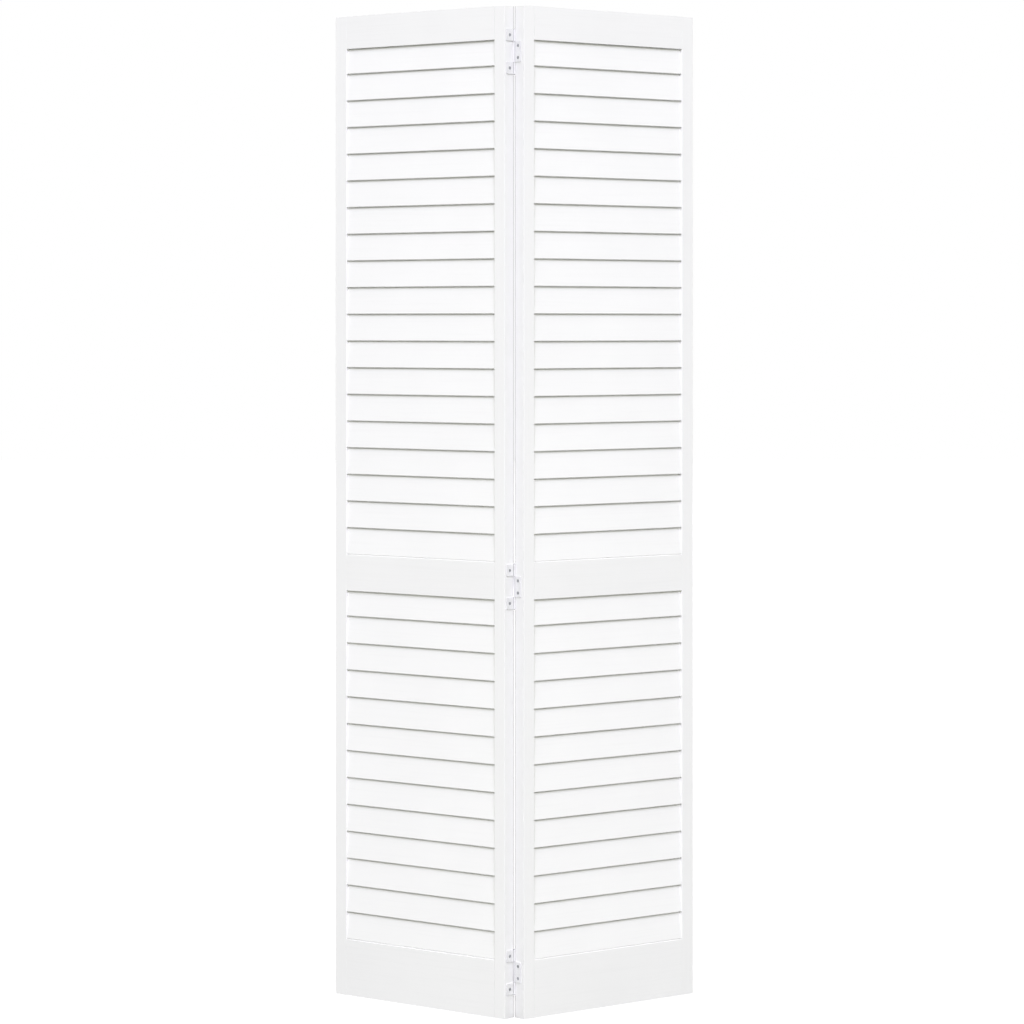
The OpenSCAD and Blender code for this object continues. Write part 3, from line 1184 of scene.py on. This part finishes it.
@dataclass(frozen=True)
class Lamp:
    """One rectangular lamp, aimed at a point on the door."""

    name: str
    place: tuple[float, float, float]
    size: Pair
    power: float
    colour: str = "#eeebff"
    aim: tuple[float, float, float] = (0, -0.1, 1.1)

    def build(self) -> None:
        """Adds the lamp, out of the camera's sight."""
        data = bpy.data.lights.new(self.name, "AREA")
        data.shape, data.size, data.size_y = "RECTANGLE", *self.size
        data.energy = self.power
        data.color = linear(self.colour)[:3]
        lamp = bpy.data.objects.new(self.name, data)
        lamp.location = self.place
        lamp.rotation_euler = (Vector(self.aim) - Vector(self.place)).to_track_quat(
            "-Z", "Y").to_euler()
        lamp.visible_camera = False
        bpy.context.scene.collection.objects.link(lamp)

    def mirrored(self) -> "list[Lamp]":
        """The left and the right copy of a lamp whose place is on the right."""
        x, y, z = self.place
        return [replace(self, name=side.named(self.name), place=(side.value * x, y, z))
                for side in Side]


def by_sight(tree: Tree, light: bpy.types.Node, sight: bpy.types.Node) -> Socket:
    """Shows one shader and lights the door by another.

    Args:
        tree: The tree that does it.
        light: The shader that light bouncing off the door meets.
        sight: The shader for the camera, reflections and glass.

    Returns:
        The mixed shader.
    """
    path = add_node(tree, "LightPath")
    seen = path.outputs["Is Camera Ray"]
    for ray in ("Is Glossy Ray", "Is Transmission Ray"):
        seen = calculated(tree, "MAXIMUM", seen, path.outputs[ray])
    return add_node(
        tree, "MixShader", {0: seen, 1: light.outputs[0], 2: sight.outputs[0]}).outputs[0]


@dataclass
class Studio:
    """A white floor, soft lamps, an even surround and the camera."""

    floor_size: float = 60.0
    # The camera sees the floor glow almost white, and a little grey in it takes the shadows.
    floor_glow: float = 0.91
    floor_white: float = 0.16
    floor_bounce: float = 0.02
    # As a light the surround is faintly warm and most lamps are faintly cool, which lights the
    # white paint neutrally.
    surround: float = 0.92
    surround_colour: str = "#fcffee"
    lamps: tuple[Lamp, ...] = (
        *Lamp("key_lamp", (8.6, -23.6, 20.6), (3.3, 3.3), 3780).mirrored(),
        *Lamp("side_lamp", (14.7, -20.3, 18.6), (1.9, 1.9), 920).mirrored(),
        *Lamp("back_lamp", (8.6, 23.4, 8.7), (3.3, 3.3), 2200, "#eeebfb").mirrored(),
        Lamp("floor_lamp", (0, -3.1, 0.35), (1.6, 0.4), 10, "#ffffe1", (0, -0.1, 0.6)),
    )
    camera_place: tuple[float, float, float] = (-0.0046, -7.4529, 1.3695)
    sensor: float = 36.0
    lens: float = 130.1
    shift_y: float = -0.1826
    clip_end: float = 100.0

    def floor(self) -> None:
        """Adds the floor, white to the camera and in reflections. It throws back little light."""
        material, tree = new_material("seamless_paper_floor")
        bounce, shade = (
            add_node(tree, "BsdfDiffuse", {"Color": (grey,) * 3 + (1.0,)})
            for grey in (self.floor_bounce, self.floor_white))
        glow = add_node(tree, "Emission", {"Strength": self.floor_glow})
        white = add_node(tree, "AddShader", {0: shade.outputs[0], 1: glow.outputs[0]})
        add_node(tree, "OutputMaterial", {"Surface": by_sight(tree, bounce, white)})
        bpy.ops.object.select_all(action="DESELECT")
        bpy.ops.mesh.primitive_plane_add(size=self.floor_size)
        floor = settle(bpy.context.object, "studio_floor")
        floor.data.materials.append(material)

    def world(self) -> None:
        """Sets the surround, white to the camera and in reflections and dimmer as a light."""
        world = bpy.data.worlds.new("studio_surround")
        bpy.context.scene.world = world
        world.use_nodes = True
        tree = world.node_tree
        tree.nodes.clear()
        dim, white = (
            add_node(tree, "Background", {"Color": linear(colour), "Strength": strength})
            for colour, strength in ((self.surround_colour, self.surround), ("#ffffff", 1.0)))
        add_node(tree, "OutputWorld", {"Surface": by_sight(tree, dim, white)})

    def camera(self) -> None:
        """Adds the level camera, with its view shifted down to the door."""
        data = bpy.data.cameras.new("studio_camera")
        data.lens, data.sensor_width, data.shift_y = self.lens, self.sensor, self.shift_y
        data.clip_end = self.clip_end
        camera = bpy.data.objects.new("studio_camera", data)
        camera.location = self.camera_place
        camera.rotation_euler = (math.pi / 2, 0, 0)
        bpy.context.scene.collection.objects.link(camera)
        bpy.context.scene.camera = camera

    def build(self) -> None:
        """Sets up the whole studio."""
        self.floor()
        self.world()
        self.camera()
        for lamp in self.lamps:
            lamp.build()
        bpy.context.scene.view_settings.view_transform = "Standard"
        log.info("studio: %d lamps", len(self.lamps))


def main() -> None:
    """Builds the door and the studio."""
    logging.basicConfig(level=logging.INFO, format="%(message)s")
    fold = Fold.at_rest()
    sizes = HingeSizes()
    heights = {"upper_hinge": 1910 * MM, "middle_hinge": 852 * MM, "lower_hinge": 90 * MM}
    for side in Side:
        turn = fold.turn(side)
        upright, level = (
            SprayedPaint(side.named(f"sprayed_paint_{way}"), run).material(turn, fold.pin)
            for way, run in (("upright", Run.UP), ("level", Run.ACROSS)))
        beech = TurnedBeech(side.named("turned_beech")).material(turn)
        Panel(side, fold, sizes, list(heights.values()), upright, level, beech).build()
    enamel = StoveEnamel().material()
    pin_zinc = ZincPlate("zinc_plated_pin").material()
    screw_zinc = ZincPlate("zinc_plated_screw").material()
    for name, z in heights.items():
        Hinge(name, z, fold, sizes, enamel, pin_zinc, screw_zinc).build()
    Studio().build()


if __name__ == "__main__":
    main()
